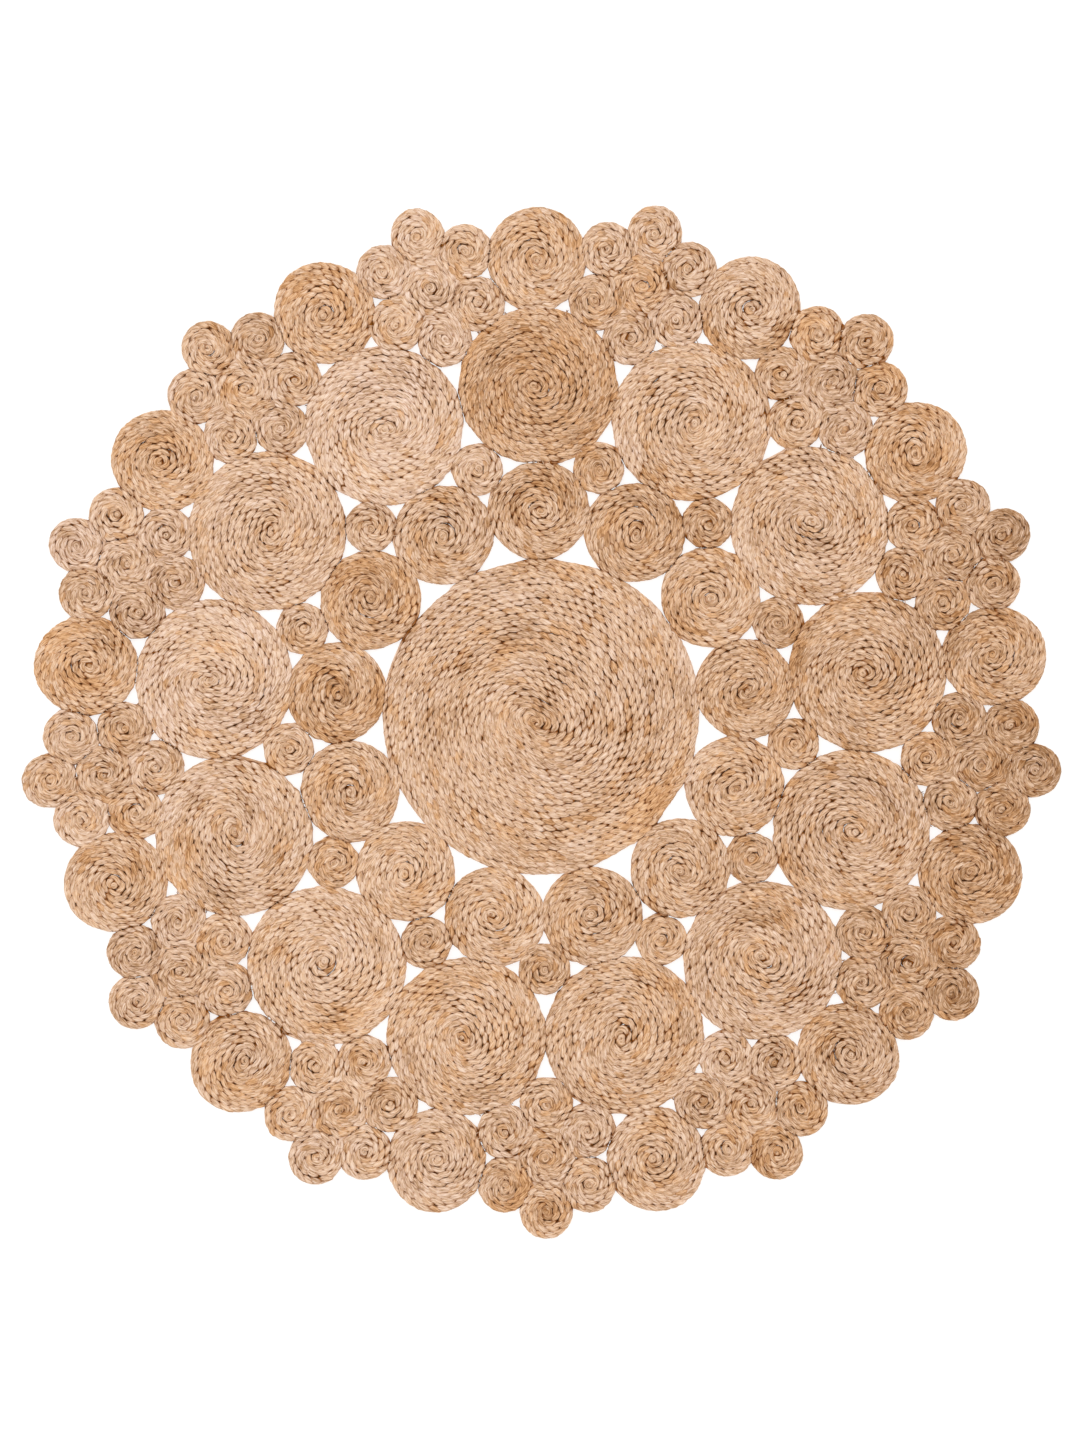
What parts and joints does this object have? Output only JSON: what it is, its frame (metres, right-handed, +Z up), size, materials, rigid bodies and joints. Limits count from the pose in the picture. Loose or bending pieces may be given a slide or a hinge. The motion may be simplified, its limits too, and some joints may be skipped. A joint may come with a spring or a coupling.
{
  "type": "area rug",
  "caption": "Round area rug of flat spiral coils of braided jute in graded sizes, sewn edge to edge in rings around a large central coil.",
  "frame": {"origin": "middle of the central coil's underside, on the floor", "axes": "+Z up, away from the floor; +Y from the middle through the first sector's inner, large and rim coils; the other twelve sectors follow anticlockwise seen from above"},
  "size_m": [1.5182, 1.509, 0.013],
  "materials": {
    "jute_plait": "matt, coarse natural fibre",
    "jute_thread": "matt, twisted natural fibre"
  },
  "bodies": {
    "root": {"centre_coil": "jute_plait", "inner_coil_with_spacer_01": "jute_plait", "large_coil_01": "jute_plait", "rim_coil_01": "jute_plait", "flower_of_small_coils_01": "jute_plait", "inner_coil_with_spacer_02": "jute_plait", "large_coil_02": "jute_plait", "rim_coil_02": "jute_plait", "flower_of_small_coils_02": "jute_plait", "inner_coil_with_spacer_03": "jute_plait", "large_coil_03": "jute_plait", "rim_coil_03": "jute_plait", "flower_of_small_coils_03": "jute_plait", "inner_coil_with_spacer_04": "jute_plait", "large_coil_04": "jute_plait", "rim_coil_04": "jute_plait", "flower_of_small_coils_04": "jute_plait", "inner_coil_with_spacer_05": "jute_plait", "large_coil_05": "jute_plait", "rim_coil_05": "jute_plait", "flower_of_small_coils_05": "jute_plait", "inner_coil_with_spacer_06": "jute_plait", "large_coil_06": "jute_plait", "rim_coil_06": "jute_plait", "flower_of_small_coils_06": "jute_plait", "inner_coil_with_spacer_07": "jute_plait", "large_coil_07": "jute_plait", "rim_coil_07": "jute_plait", "flower_of_small_coils_07": "jute_plait", "inner_coil_with_spacer_08": "jute_plait", "large_coil_08": "jute_plait", "rim_coil_08": "jute_plait", "flower_of_small_coils_08": "jute_plait", "inner_coil_with_spacer_09": "jute_plait", "large_coil_09": "jute_plait", "rim_coil_09": "jute_plait", "flower_of_small_coils_09": "jute_plait", "inner_coil_with_spacer_10": "jute_plait", "large_coil_10": "jute_plait", "rim_coil_10": "jute_plait", "flower_of_small_coils_10": "jute_plait", "inner_coil_with_spacer_11": "jute_plait", "large_coil_11": "jute_plait", "rim_coil_11": "jute_plait", "flower_of_small_coils_11": "jute_plait", "inner_coil_with_spacer_12": "jute_plait", "large_coil_12": "jute_plait", "rim_coil_12": "jute_plait", "flower_of_small_coils_12": "jute_plait", "inner_coil_with_spacer_13": "jute_plait", "large_coil_13": "jute_plait", "rim_coil_13": "jute_plait", "flower_of_small_coils_13": "jute_plait"}
  },
  "joints": []
}
